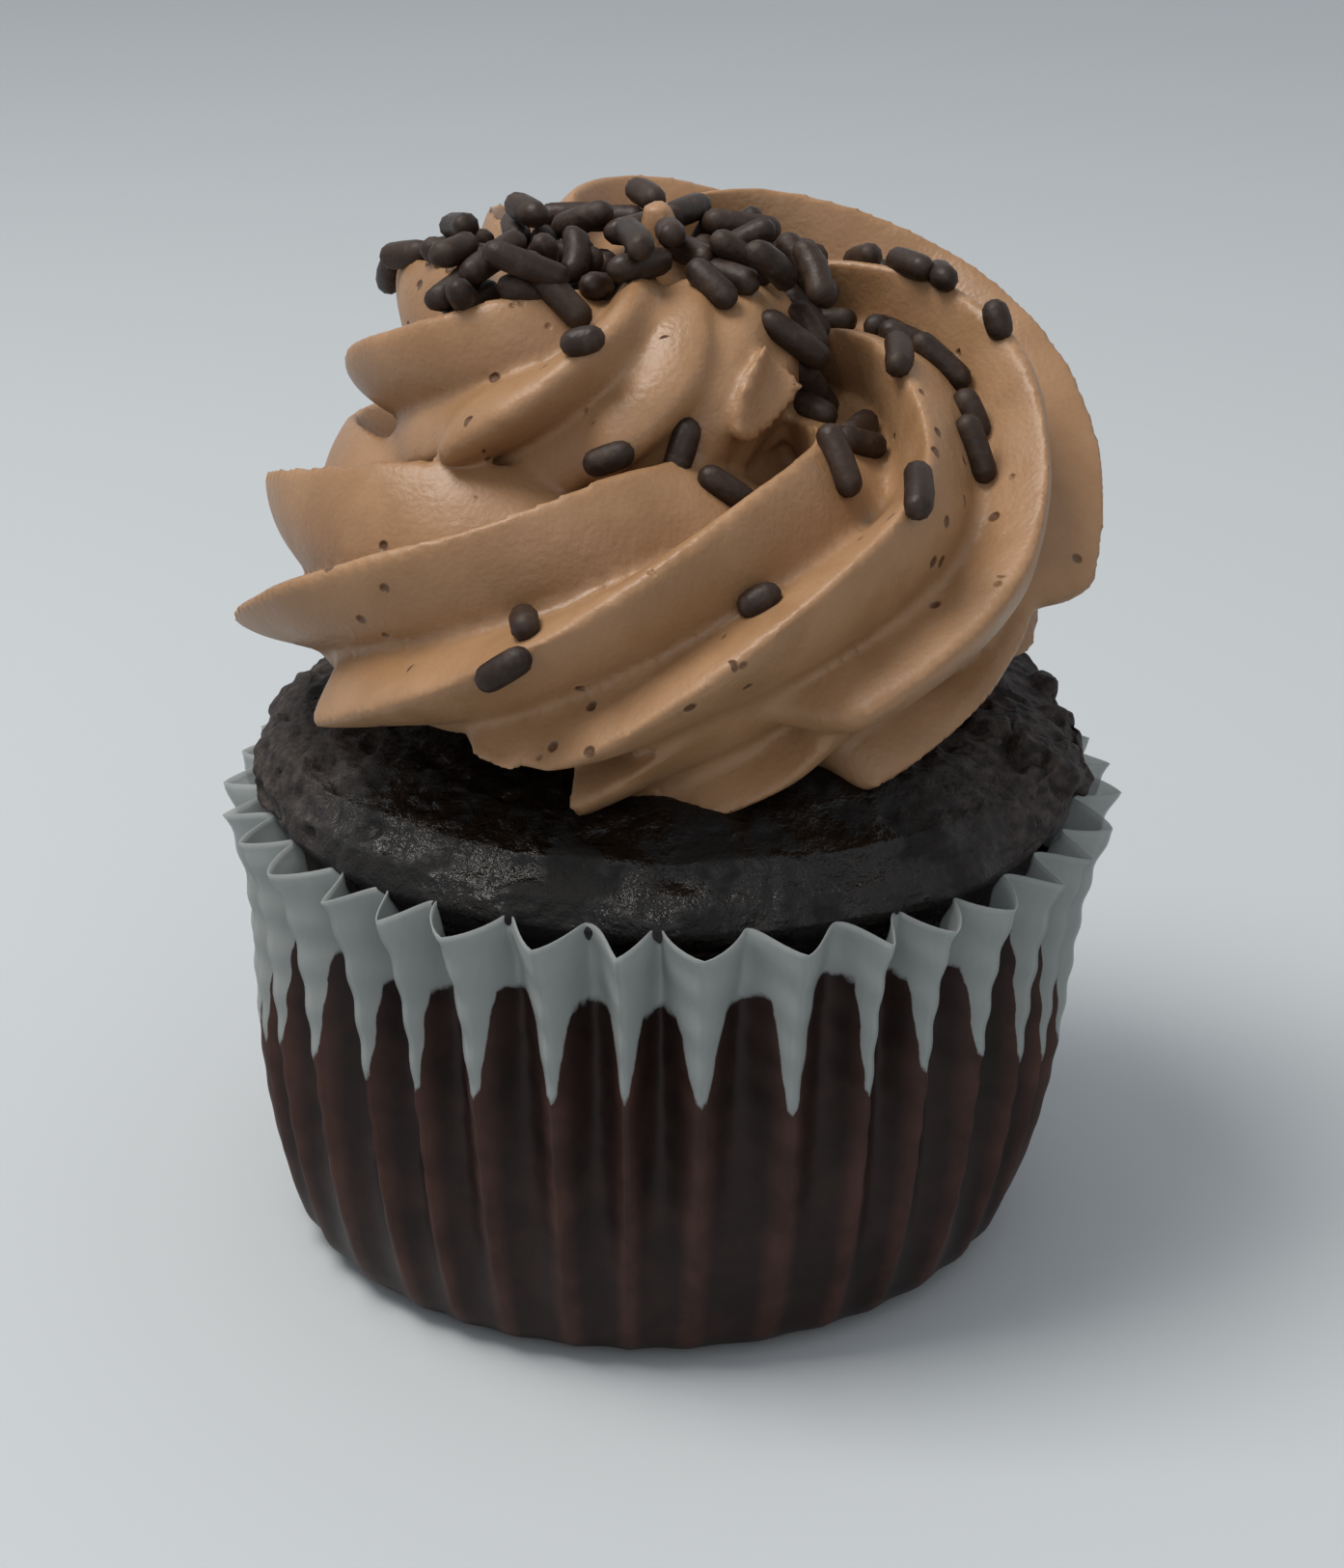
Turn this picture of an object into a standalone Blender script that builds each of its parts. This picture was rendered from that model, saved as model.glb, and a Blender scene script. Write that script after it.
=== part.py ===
"""Frosted cupcake: a pleated paper case, a domed cake and a swirl piped through a star nozzle.

Metres, +Z up. The origin is on the standing surface, under the middle of the case's rim.
"""

import math

import bmesh
import bpy
import numpy as np
from mathutils import Matrix

# Paper case
RIM_RADIUS = 0.0350
CASE_HEIGHT = 0.0350
WALL_RADIUS = 0.0325
FOOT_RADIUS = 0.0276
FOOT_ROUNDING = 0.0026
WALL_SWELL_HEIGHT = 0.009
RIM_FLARE_POWER = 8
PLEATS = 36
PLEAT_DEPTH = 0.0040
PLEAT_POINTS = 4
PLEAT_UNEVENNESS = 0.12
PAPER_THICKNESS = 0.0003
CASE_LEAN = 0.0017
WALL_LEVELS = 4
ROUNDING_LEVELS = 2

# Cake
GAP = 0.0003
CAKE_CLEARANCE = 0.0013
CAKE_BROW_RADIUS = 0.0324
CAKE_BROW_HEIGHT = 0.0385
CAKE_TOP_HEIGHT = 0.0440
CAKE_TILT = 0.035
CAKE_SEGMENTS = 48
DOME_STEPS = 7

# Frosting: stations along the piped rope. Each gives the angle walked round the cake in degrees
# (0 at +X, counter-clockwise from above), the rope's distance from the swirl's middle, its height,
# its size from centre to ridge, the angle of its first ridge, from straight up towards outside,
# how far below its centre it is pressed flat as a share of its size, and the angle past which a
# ridge on the outside is crushed.
ROPE_STATIONS = (
    (-104, 0.0180, 0.0450, 0.0088, 107, 1.00, 150),
    (-85, 0.0180, 0.0465, 0.0094, 80, 1.00, 131),
    (-68, 0.0182, 0.0475, 0.0098, 56, 1.00, 131),
    (-56, 0.0185, 0.0482, 0.0101, 26, 1.00, 130),
    (-40, 0.0188, 0.0488, 0.0100, 5, 1.00, 125),
    (-24, 0.0193, 0.0495, 0.0100, -18, 0.90, 120),
    (10, 0.0203, 0.0512, 0.0106, -50, 0.80, 118),
    (55, 0.0212, 0.0512, 0.0111, -78, 0.70, 118),
    (100, 0.0215, 0.0512, 0.0113, -100, 0.70, 118),
    (150, 0.0212, 0.0515, 0.0112, -126, 0.66, 118),
    (185, 0.0204, 0.0516, 0.0112, -158, 0.58, 117),
    (220, 0.0202, 0.0517, 0.0119, -202, 0.45, 122),
    (255, 0.0198, 0.0519, 0.0124, -246, 0.37, 132),
    (290, 0.0197, 0.0528, 0.0127, -297, 0.32, 107),
    (325, 0.0203, 0.0541, 0.0133, -339, 0.28, 104),
    (360, 0.0201, 0.0585, 0.0137, -382, 0.34, 108),
    (400, 0.0200, 0.0628, 0.0129, -434, 0.50, 115),
    (450, 0.0190, 0.0665, 0.0121, -493, 0.60, 118),
    (500, 0.0145, 0.0652, 0.0112, -562, 0.70, 115),
    (550, 0.0122, 0.0650, 0.0102, -620, 0.70, 93),
    (600, 0.0085, 0.0655, 0.0092, -686, 0.70, 100),
    (650, 0.0060, 0.0672, 0.0082, -752, 0.80, 120),
    (700, 0.0058, 0.0690, 0.0064, -815, 1.00, 150),
    (740, 0.0044, 0.0712, 0.0046, -865, 1.00, 150),
    (775, 0.0020, 0.0752, 0.0028, -905, 1.00, 150),
    (795, 0.0008, 0.0800, 0.0014, -925, 1.00, 150),
)
SWIRL_MIDDLE = (-0.0014, 0.0009)
NOZZLE_RIDGES = 7
RIDGE_SHIFT_DEG = (2.0, -2.0, 1.0, 0.0, -8.0, 6.0, 9.0)
TIER_SHIFT_DEG = (20.0, 26.0, 12.0, 0.0, 0.0, -8.0, -6.0)
RIDGE_REACH = (1.0, 0.98, 1.0, 0.97, 1.0, 1.02, 0.99)
TIER_REACH = (1.07, 1.0, 1.0, 0.97, 1.0, 1.0, 1.0)
VALLEY_DEPTH = (0.42, 0.40, 0.40, 0.40, 0.52, 0.42, 0.40)
CREST_ROUNDING = 0.10
TIER_CREST_ROUNDING = 0.30
RIDGE_LEAN = math.radians(-13)
TIER_START, TIER_FULL = 470.0, 540.0
SMOOTH_START, SMOOTH_FULL, SMOOTH_SHARE = 585.0, 640.0, 0.75
CRUSH_WIDTH = 11.0
PRESS_SOFTNESS = 0.06
ROPE_STEPS = 330
ROPE_POINTS_PER_RIDGE = 12
CORE_RADIUS = 0.0135
CORE_HALF_HEIGHT = 0.0140
CORE_HEIGHT = 0.0540
REMESH_SIZE = 0.0012
FROSTING_TRIANGLES = 4140

MATERIALS = {
    "paper": ((0.62, 0.66, 0.66), 0.75),
    "sponge": ((0.012, 0.008, 0.006), 0.70),
    "buttercream": ((0.30, 0.17, 0.09), 0.45),
}


def clear_scene():
    """Remove whatever the file opened with."""
    for obj in list(bpy.data.objects):
        bpy.data.objects.remove(obj, do_unlink=True)


def new_collection(name):
    """A collection linked to the scene."""
    collection = bpy.data.collections.new(name)
    bpy.context.scene.collection.children.link(collection)
    return collection


def new_material(name):
    """A Principled material with a base colour and a roughness."""
    colour, roughness = MATERIALS[name]
    material = bpy.data.materials.new(name)
    material.use_nodes = True
    shader = material.node_tree.nodes["Principled BSDF"]
    shader.inputs["Base Color"].default_value = (*colour, 1.0)
    shader.inputs["Roughness"].default_value = roughness
    shader.inputs["Metallic"].default_value = 0.0
    return material


def new_object(name, mesh, collection, material=None):
    """An object for a mesh, in a collection."""
    obj = bpy.data.objects.new(name, mesh)
    collection.objects.link(obj)
    if material:
        mesh.materials.append(material)
    return obj


def leaning(height):
    """How far the cupcake's middle has moved towards +X at a height: it is upright at the rim."""
    return CASE_LEAN * (height / CASE_HEIGHT - 1.0)


def ring_faces(rings, points):
    """Quads between neighbouring rings of points, all turning the same way."""
    ring = np.arange(rings - 1)[:, None] * points
    here = np.arange(points)[None, :]
    after = (here + 1) % points
    quads = np.stack([ring + here, ring + after, ring + points + after, ring + points + here], axis=-1)
    return quads.reshape(-1, 4).tolist()


def loft(name, rings, close_first, close_last):
    """A mesh through rings of points, an array of rings x points x 3, with flat end caps if asked."""
    count, points = rings.shape[:2]
    faces = ring_faces(count, points)
    if close_first:
        faces.append(list(range(points))[::-1])
    if close_last:
        faces.append(list(range((count - 1) * points, count * points)))
    mesh = bpy.data.meshes.new(name)
    mesh.from_pydata(rings.reshape(-1, 3).tolist(), [], faces)
    mesh.update()
    return mesh


# ---- paper case

def crest_radius(height):
    """Radius of the pleats' outer folds: it swells from the foot and flares at the rim."""
    swell = 1.0 - np.exp(-height / WALL_SWELL_HEIGHT)
    flare = (height / CASE_HEIGHT) ** RIM_FLARE_POWER
    return FOOT_RADIUS + (WALL_RADIUS - FOOT_RADIUS) * swell + (RIM_RADIUS - WALL_RADIUS) * flare


def pleat_depth(height):
    """Depth of the pleats, nothing at the foot and deepest at the rim."""
    return PLEAT_DEPTH * height / CASE_HEIGHT


def pleat_angles():
    """Angles round the case, PLEAT_POINTS to a pleat, with pleats of uneven width."""
    even = np.arange(PLEATS * PLEAT_POINTS) * 2 * math.pi / (PLEATS * PLEAT_POINTS)
    pitch = 2 * math.pi / PLEATS
    uneven = np.sin(5 * even + 0.7) + np.sin(11 * even + 2.1)
    return even + PLEAT_UNEVENNESS * pitch * uneven


def case_rings():
    """Rings up the outside of the paper: a flat foot, its rounded edge and the pleated wall."""
    turn = np.linspace(0.0, math.pi / 2, ROUNDING_LEVELS + 1)
    heights = list(FOOT_ROUNDING * (1 - np.cos(turn)))
    inset = list(FOOT_ROUNDING * (1 - np.sin(turn)))
    wall = np.linspace(FOOT_ROUNDING, CASE_HEIGHT, WALL_LEVELS + 1)[1:]
    heights += list(wall)
    inset += [0.0] * len(wall)
    angles = pleat_angles()
    fold = 0.5 - 0.5 * np.cos(2 * math.pi * np.arange(angles.size) / PLEAT_POINTS)
    rings = []
    for height, pulled_in in zip(heights, inset):
        radius = crest_radius(height) - pulled_in - pleat_depth(height) * fold
        middle = leaning(height)
        ring = [middle + radius * np.cos(angles), radius * np.sin(angles), np.full(angles.size, height)]
        rings.append(np.stack(ring, axis=-1))
    return np.array(rings)


def make_paper_case(collection):
    """The pleated cup, an open sheet given its thickness inwards."""
    mesh = loft("paper_case", case_rings(), close_first=True, close_last=False)
    case = new_object("paper_case", mesh, collection, new_material("paper"))
    wall = case.modifiers.new("paper thickness", "SOLIDIFY")
    wall.thickness = PAPER_THICKNESS
    wall.offset = -1.0
    wall.use_even_offset = True
    return case


# ---- cake

def cake_profile(grow):
    """Half outline of the cake from its foot to its top, grown outwards by a distance."""
    foot = PAPER_THICKNESS + GAP
    heights = np.array([foot, 0.003, 0.009, 0.017, 0.026, CASE_HEIGHT])
    inside = crest_radius(heights) - pleat_depth(heights) - CAKE_CLEARANCE
    inside[0] = crest_radius(0.0) - FOOT_ROUNDING - CAKE_CLEARANCE
    points = [(0.0, foot)] + list(zip(inside, heights))
    points.append((inside[-1], CASE_HEIGHT + 2 * GAP))
    brow = CAKE_BROW_HEIGHT - CASE_HEIGHT - 2 * GAP
    points.append((CAKE_BROW_RADIUS - brow / 3, CAKE_BROW_HEIGHT - brow * 2 / 3))
    dome = CAKE_TOP_HEIGHT - CAKE_BROW_HEIGHT
    for step in np.linspace(0.0, 1.0, DOME_STEPS):
        turn = step * math.pi / 2
        points.append((CAKE_BROW_RADIUS * math.cos(turn), CAKE_BROW_HEIGHT + dome * math.sin(turn) ** 0.8))
    outline = np.array(points)
    outline[:, 0] = np.where(outline[:, 0] > GAP, outline[:, 0] + grow, 0.0)
    outline[-1, 0] = 0.0
    upper = outline[:, 1] > CASE_HEIGHT
    outline[:, 1] += np.where(upper, grow, -grow)
    return outline


def turned(name, outline):
    """A solid turned from a half outline round Z, then sheared to the cupcake's lean."""
    bm = bmesh.new()
    verts = [bm.verts.new((radius, 0.0, height)) for radius, height in outline]
    edges = [bm.edges.new(pair) for pair in zip(verts[:-1], verts[1:])]
    bmesh.ops.spin(
        bm, geom=verts + edges, cent=(0, 0, 0), axis=(0, 0, 1),
        angle=2 * math.pi, steps=CAKE_SEGMENTS, use_merge=True,
    )
    bmesh.ops.remove_doubles(bm, verts=bm.verts, dist=0.00001)
    shear = Matrix.Identity(4)
    shear[0][2] = CASE_LEAN / CASE_HEIGHT
    shear[0][3] = -CASE_LEAN
    bmesh.ops.transform(bm, matrix=shear, verts=bm.verts)
    tilt = Matrix.Identity(4)
    tilt[2][1] = CAKE_TILT
    risen = [vert for vert in bm.verts if vert.co.z > CASE_HEIGHT + GAP]
    bmesh.ops.transform(bm, matrix=tilt, verts=risen)
    bmesh.ops.recalc_face_normals(bm, faces=bm.faces)
    mesh = bpy.data.meshes.new(name)
    bm.to_mesh(mesh)
    bm.free()
    return mesh


def make_cake(collection):
    """The baked cake: it fills the case and its top swells over the rim."""
    return new_object("cake", turned("cake", cake_profile(0.0)), collection, new_material("sponge"))


# ---- frosting

def smooth_between(stations, column, at):
    """A column of the station table, eased between stations by cubic Hermite pieces."""
    x = stations[:, 0]
    y = stations[:, column]
    slope = np.gradient(y, x)
    left = np.clip(np.searchsorted(x, at) - 1, 0, len(x) - 2)
    width = x[left + 1] - x[left]
    u = (at - x[left]) / width
    value = (2 * u**3 - 3 * u**2 + 1) * y[left] + (3 * u**2 - 2 * u**3) * y[left + 1]
    return value + ((u**3 - 2 * u**2 + u) * slope[left] + (u**3 - u**2) * slope[left + 1]) * width


def ease(value, low, high):
    """0 below low, 1 above high, with a smooth step between."""
    t = np.clip((value - low) / (high - low), 0.0, 1.0)
    return t * t * (3.0 - 2.0 * t)


def nozzle_section(twist, tier, smooth, crush):
    """Angle and relative reach round the star, for every station at once.

    Seven ridges, each with its own place, reach and valley. A ridge turned past the crush angle
    on the outside is flattened under the rope, which leaves a corner where it comes out.
    """
    count = NOZZLE_RIDGES * ROPE_POINTS_PER_RIDGE
    place = np.arange(count)[None, :] / ROPE_POINTS_PER_RIDGE
    nearest = np.round(place).astype(int) % NOZZLE_RIDGES
    before = np.floor(place).astype(int) % NOZZLE_RIDGES
    from_crest = np.abs((place + 0.5) % 1.0 - 0.5) * 2
    rounding = CREST_ROUNDING + (TIER_CREST_ROUNDING - CREST_ROUNDING) * tier
    rounded = np.sqrt(from_crest**2 + rounding**2) - rounding
    height = (1.0 - rounded / (np.sqrt(1.0 + rounding**2) - rounding)) ** 1.15
    shift = np.radians(np.array(RIDGE_SHIFT_DEG)[nearest] + np.array(TIER_SHIFT_DEG)[nearest] * tier)
    angle = twist + 2 * math.pi * place / NOZZLE_RIDGES + shift * height + RIDGE_LEAN * (height - 1.0)
    ridge = np.degrees(twist + 2 * math.pi * np.round(place) / NOZZLE_RIDGES + shift)
    from_up = (ridge + 180.0) % 360.0 - 180.0
    crushed = ease(from_up, crush - 3.0, crush - 3.0 + CRUSH_WIDTH) * (1.0 - 0.5 * tier)
    height = height * (1.0 - crushed)
    crest = np.array(RIDGE_REACH)[nearest] * (1.0 - tier) + np.array(TIER_REACH)[nearest] * tier
    valley = np.array(VALLEY_DEPTH)[before] * (1.0 - SMOOTH_SHARE * smooth)
    return angle, (1.0 + (crest - 1.0) * height) * (1.0 - valley * (1.0 - height))


def pressed(up, level):
    """Height within the section, flattened softly below the level it rests on."""
    below = np.maximum(-level - up, 0.0)
    return np.maximum(up, -level) - PRESS_SOFTNESS * (1.0 - np.exp(-below / PRESS_SOFTNESS))


def rope_rings():
    """The star section carried along the spiral, turning as the bag keeps facing the same way."""
    stations = np.array(ROPE_STATIONS, dtype=float)
    at = np.linspace(stations[0, 0], stations[-1, 0], ROPE_STEPS)
    reach, height, size, twist, press, crush = (
        smooth_between(stations, column, at) for column in range(1, 7)
    )
    angle = np.radians(at)
    centre = np.stack([
        SWIRL_MIDDLE[0] + reach * np.cos(angle),
        SWIRL_MIDDLE[1] + reach * np.sin(angle),
        height,
    ], axis=-1)
    along = np.gradient(centre, axis=0)
    along /= np.linalg.norm(along, axis=1, keepdims=True)
    outward = np.cross(along, (0.0, 0.0, 1.0))
    outward /= np.linalg.norm(outward, axis=1, keepdims=True)
    upward = np.cross(outward, along)
    around, relative = nozzle_section(
        np.radians(twist)[:, None],
        ease(at, TIER_START, TIER_FULL)[:, None],
        ease(at, SMOOTH_START, SMOOTH_FULL)[:, None],
        crush[:, None],
    )
    side = (size[:, None] * relative * np.sin(around))[..., None]
    up = (size[:, None] * pressed(relative * np.cos(around), press[:, None]))[..., None]
    return centre[:, None, :] + side * outward[:, None, :] + up * upward[:, None, :]


def add_core(mesh):
    """Add the frosting that fills the middle of the swirl."""
    bm = bmesh.new()
    bm.from_mesh(mesh)
    place = Matrix.Translation((*SWIRL_MIDDLE, CORE_HEIGHT))
    stretch = Matrix.Diagonal((CORE_RADIUS, CORE_RADIUS, CORE_HALF_HEIGHT, 1.0))
    bmesh.ops.create_uvsphere(bm, u_segments=48, v_segments=24, radius=1.0, matrix=place @ stretch)
    bm.to_mesh(mesh)
    bm.free()


def make_frosting(collection, cutters):
    """The swirl: rope and core merged into one skin, thinned, and seated on the cake."""
    mesh = loft("frosting", rope_rings(), close_first=True, close_last=True)
    add_core(mesh)
    frosting = new_object("frosting", mesh, collection, new_material("buttercream"))
    merge = frosting.modifiers.new("one skin", "REMESH")
    merge.mode = "VOXEL"
    merge.voxel_size = REMESH_SIZE
    thin = frosting.modifiers.new("fewer triangles", "DECIMATE")
    thin.ratio = 1.0
    bpy.context.view_layer.update()
    thin.ratio = FROSTING_TRIANGLES / triangle_count(frosting)
    seat = new_object("cake_seat", turned("cake_seat", cake_profile(GAP)), cutters)
    seat.hide_render = True
    seat.display_type = "WIRE"
    cut = frosting.modifiers.new("seat on the cake", "BOOLEAN")
    cut.operation = "DIFFERENCE"
    cut.solver = "EXACT"
    cut.object = seat
    return frosting


def triangle_count(obj):
    """Triangles of an object as its modifiers leave it."""
    evaluated = obj.evaluated_get(bpy.context.evaluated_depsgraph_get())
    mesh = evaluated.to_mesh()
    mesh.calc_loop_triangles()
    count = len(mesh.loop_triangles)
    evaluated.to_mesh_clear()
    return count


def main():
    clear_scene()
    collection = new_collection("cupcake")
    cutters = new_collection("cutters")
    make_paper_case(collection)
    make_cake(collection)
    make_frosting(collection, cutters)
    for obj in collection.objects:
        obj.data.shade_smooth()


main()
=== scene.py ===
# %% [markdown]
# # A piped chocolate cupcake
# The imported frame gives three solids: a pleated paper case, a domed cake and a swirl of frosting.
# They are exact in place and size but coarse, so this lesson makes a fine surface for each of them
# inside the same box, adds the sprinkles, and then sets up a floor, some soft light and a camera.

# %% The frame and its box
import math

import bpy
import numpy as np
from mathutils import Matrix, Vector
from mathutils.bvhtree import BVHTree


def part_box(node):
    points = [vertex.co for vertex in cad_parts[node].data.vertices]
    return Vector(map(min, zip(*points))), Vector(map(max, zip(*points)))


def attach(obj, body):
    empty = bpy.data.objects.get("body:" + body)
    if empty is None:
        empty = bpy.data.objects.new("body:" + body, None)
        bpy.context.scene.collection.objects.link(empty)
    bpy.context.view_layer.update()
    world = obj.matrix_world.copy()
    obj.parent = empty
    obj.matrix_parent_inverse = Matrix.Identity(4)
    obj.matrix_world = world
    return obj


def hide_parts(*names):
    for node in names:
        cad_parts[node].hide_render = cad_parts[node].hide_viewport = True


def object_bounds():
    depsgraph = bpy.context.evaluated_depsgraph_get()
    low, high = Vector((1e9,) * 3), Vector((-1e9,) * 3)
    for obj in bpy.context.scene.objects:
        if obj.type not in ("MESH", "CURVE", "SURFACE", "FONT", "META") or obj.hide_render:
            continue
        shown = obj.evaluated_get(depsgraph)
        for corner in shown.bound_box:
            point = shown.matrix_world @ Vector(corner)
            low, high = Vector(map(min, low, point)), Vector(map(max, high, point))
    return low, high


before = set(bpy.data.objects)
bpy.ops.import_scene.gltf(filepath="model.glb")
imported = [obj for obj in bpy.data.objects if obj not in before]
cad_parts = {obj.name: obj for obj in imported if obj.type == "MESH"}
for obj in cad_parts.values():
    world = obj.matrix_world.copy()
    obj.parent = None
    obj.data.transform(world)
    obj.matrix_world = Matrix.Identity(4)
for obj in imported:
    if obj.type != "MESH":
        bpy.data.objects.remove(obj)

cad_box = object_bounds()
case_low, case_high = (np.array(corner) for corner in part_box("paper_case"))
cake_low, cake_high = (np.array(corner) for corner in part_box("cake"))
swirl_low, swirl_high = (np.array(corner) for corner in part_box("frosting"))
print("case", case_high - case_low, "cake", cake_high - cake_low, "swirl", swirl_high - swirl_low)

# %% [markdown]
# ## The camera
# The cupcake is seen from the front and a little above, from about a hand's length away, so its foot
# is seen steeply and its top almost level. A medium long lens frames it with some room around it.

# %% Camera
CAMERA_PITCH = math.radians(21.4)
CAMERA_REACH = 0.2227
CAMERA_HEIGHT = 0.1219

camera_data = bpy.data.cameras.new("camera")
camera_data.lens = 70.9
camera_data.sensor_width = 36.0
camera_data.clip_start = 0.01
camera = bpy.data.objects.new("camera", camera_data)
bpy.context.scene.collection.objects.link(camera)
camera.location = (0.0, -CAMERA_REACH, CAMERA_HEIGHT)
camera.rotation_euler = (math.pi / 2 - CAMERA_PITCH, 0.0, 0.0)
bpy.context.scene.camera = camera

# %% [markdown]
# ## Helpers for surfaces
# Every new piece is a grid of points: rows along it and columns round it. One helper turns such a
# grid into a mesh with its faces outwards. Real food is never even, so a second helper gives smooth
# random values anywhere in space: random numbers on a lattice of cubes, blended between the corners.

# %% Grid to mesh
def put_in_scene(name, mesh):
    """An object for a finished mesh, at the origin and shaded smooth."""
    mesh.shade_smooth()
    piece = bpy.data.objects.new(name, mesh)
    bpy.context.scene.collection.objects.link(piece)
    return piece


def grid_faces(rows, columns):
    """Quads between each row of a tube and the next, as (row, column), (row, column + 1), and so on."""
    start = np.arange(rows - 1)[:, None] * columns
    here = np.arange(columns)[None, :]
    after = (here + 1) % columns
    return np.stack([start + here, start + after, start + columns + after, start + columns + here], -1)


def tube_mesh(name, grid, close_first=False, close_last=False):
    """Mesh of a grid of rows x columns x 3 whose columns join up, with flat caps where asked."""
    rows, columns = grid.shape[:2]
    faces = grid_faces(rows, columns).reshape(-1, 4).tolist()
    if close_first:
        faces.append(list(range(columns))[::-1])
    if close_last:
        faces.append(list(range((rows - 1) * columns, rows * columns)))
    mesh = bpy.data.meshes.new(name)
    mesh.from_pydata(grid.reshape(-1, 3).tolist(), [], faces)
    mesh.update()
    return mesh


# %% Smooth random values
def lattice_value(corner, seed):
    """A repeatable random value from -1 to 1 for each integer corner: the sine of a mixed dot product."""
    mixed = corner @ np.array([12.9898, 78.233, 37.719]) + seed * 17.17
    return 2.0 * np.modf(np.abs(np.sin(mixed) * 43758.5453))[0] - 1.0


def soft_noise(points, size, seed=0):
    """Smooth random value at points: the eight corners' values blended by 3f^2 - 2f^3 along each axis."""
    scaled = np.asarray(points) / size
    cell = np.floor(scaled)
    part = scaled - cell
    part = part * part * (3.0 - 2.0 * part)
    total = np.zeros(scaled.shape[:-1])
    for step in np.ndindex(2, 2, 2):
        weight = np.prod(np.where(np.array(step) == 1, part, 1.0 - part), axis=-1)
        total += weight * lattice_value(cell + np.array(step), seed)
    return total


def ease(value, low, high):
    """0 below low, 1 above high and a smooth S between."""
    part = np.clip((value - low) / (high - low), 0.0, 1.0)
    return part * part * (3.0 - 2.0 * part)


# %% [markdown]
# ## The swirl
# The frosting is one rope pushed through a star nozzle and walked round the cake almost two times,
# then wound in to the middle. It could be sculpted ridge by ridge, but the real ridges come from one
# star and one path, so the model does the same. The bag keeps facing the same way while the hand
# walks round, so the star turns backwards against the path, and each ridge starts under the rope,
# runs out over its side and ends on top. The stations repeat those that the frame was made from.

# %% Stations of the rope
# Angle walked in degrees, distance from the middle, height, size to a ridge, turn of the first ridge,
# how far below its centre the rope is pressed flat, as a share of its size, and the angle from up
# past which a ridge on the outside is crushed under the rope.
ROPE_STATIONS = np.array([
    (-104, 0.0180, 0.0450, 0.0088, 107, 1.00, 150),
    (-85, 0.0180, 0.0465, 0.0094, 80, 1.00, 131),
    (-68, 0.0182, 0.0475, 0.0098, 56, 1.00, 131),
    (-56, 0.0185, 0.0482, 0.0101, 26, 1.00, 130),
    (-40, 0.0188, 0.0488, 0.0100, 5, 1.00, 125),
    (-24, 0.0193, 0.0495, 0.0100, -18, 0.90, 120),
    (10, 0.0203, 0.0512, 0.0106, -50, 0.80, 118),
    (55, 0.0212, 0.0512, 0.0111, -78, 0.70, 118),
    (100, 0.0215, 0.0512, 0.0113, -100, 0.70, 118),
    (150, 0.0212, 0.0515, 0.0112, -126, 0.66, 118),
    (185, 0.0204, 0.0516, 0.0112, -158, 0.58, 117),
    (220, 0.0202, 0.0517, 0.0119, -202, 0.45, 122),
    (255, 0.0198, 0.0519, 0.0124, -246, 0.37, 132),
    (290, 0.0197, 0.0528, 0.0127, -297, 0.32, 107),
    (325, 0.0203, 0.0541, 0.0133, -339, 0.28, 104),
    (360, 0.0201, 0.0585, 0.0137, -382, 0.34, 108),
    (400, 0.0200, 0.0628, 0.0129, -434, 0.50, 115),
    (450, 0.0190, 0.0665, 0.0121, -493, 0.60, 118),
    (500, 0.0145, 0.0652, 0.0112, -562, 0.70, 115),
    (550, 0.0122, 0.0650, 0.0102, -620, 0.70, 93),
    (600, 0.0085, 0.0655, 0.0092, -686, 0.70, 100),
    (650, 0.0060, 0.0672, 0.0082, -752, 0.80, 120),
    (700, 0.0058, 0.0690, 0.0064, -815, 1.00, 150),
    (740, 0.0044, 0.0712, 0.0046, -865, 1.00, 150),
    (775, 0.0020, 0.0745, 0.0024, -905, 1.00, 150),
    (795, 0.0008, 0.0793, 0.0010, -925, 1.00, 150),
])
SWIRL_MIDDLE = np.array([-0.0014, 0.0009])
NOZZLE_RIDGES = 7
RIDGE_SHIFT = np.radians([2.0, -2.0, 1.0, 0.0, -8.0, 6.0, 9.0])
TIER_SHIFT = np.radians([20.0, 26.0, 12.0, 0.0, 0.0, -8.0, -6.0])
TIER_START, TIER_FULL = 470.0, 540.0
RIDGE_REACH = np.array([1.0, 0.98, 1.0, 0.97, 1.0, 1.02, 0.99])
TIER_REACH = np.array([1.07, 1.0, 1.0, 0.97, 1.0, 1.0, 1.0])
VALLEY_DEPTH = np.array([0.42, 0.40, 0.40, 0.40, 0.52, 0.42, 0.40])
RIDGE_ROUNDING, TIER_ROUNDING = 0.06, 0.24
RIDGE_LEAN = math.radians(-13)
CRUSH_WIDTH = 11.0
CRUSH_EARLY = 3.0
RIDGE_SHARPNESS = 1.15
PRESS_SOFTNESS = 0.06
SMOOTH_START, SMOOTH_FULL, SMOOTH_SHARE = 585.0, 640.0, 0.75
ROPE_ROWS = 1000
ROPE_COLUMNS = 280


def along_rope(column, at):
    """A column of the stations at any angle, by cubic Hermite pieces through the stations."""
    x = ROPE_STATIONS[:, 0]
    y = ROPE_STATIONS[:, column]
    slope = np.gradient(y, x)
    left = np.clip(np.searchsorted(x, at) - 1, 0, len(x) - 2)
    width = x[left + 1] - x[left]
    u = (at - x[left]) / width
    value = (2 * u**3 - 3 * u**2 + 1) * y[left] + (3 * u**2 - 2 * u**3) * y[left + 1]
    return value + ((u**3 - 2 * u**2 + u) * slope[left] + (u**3 - u**2) * slope[left + 1]) * width


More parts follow.
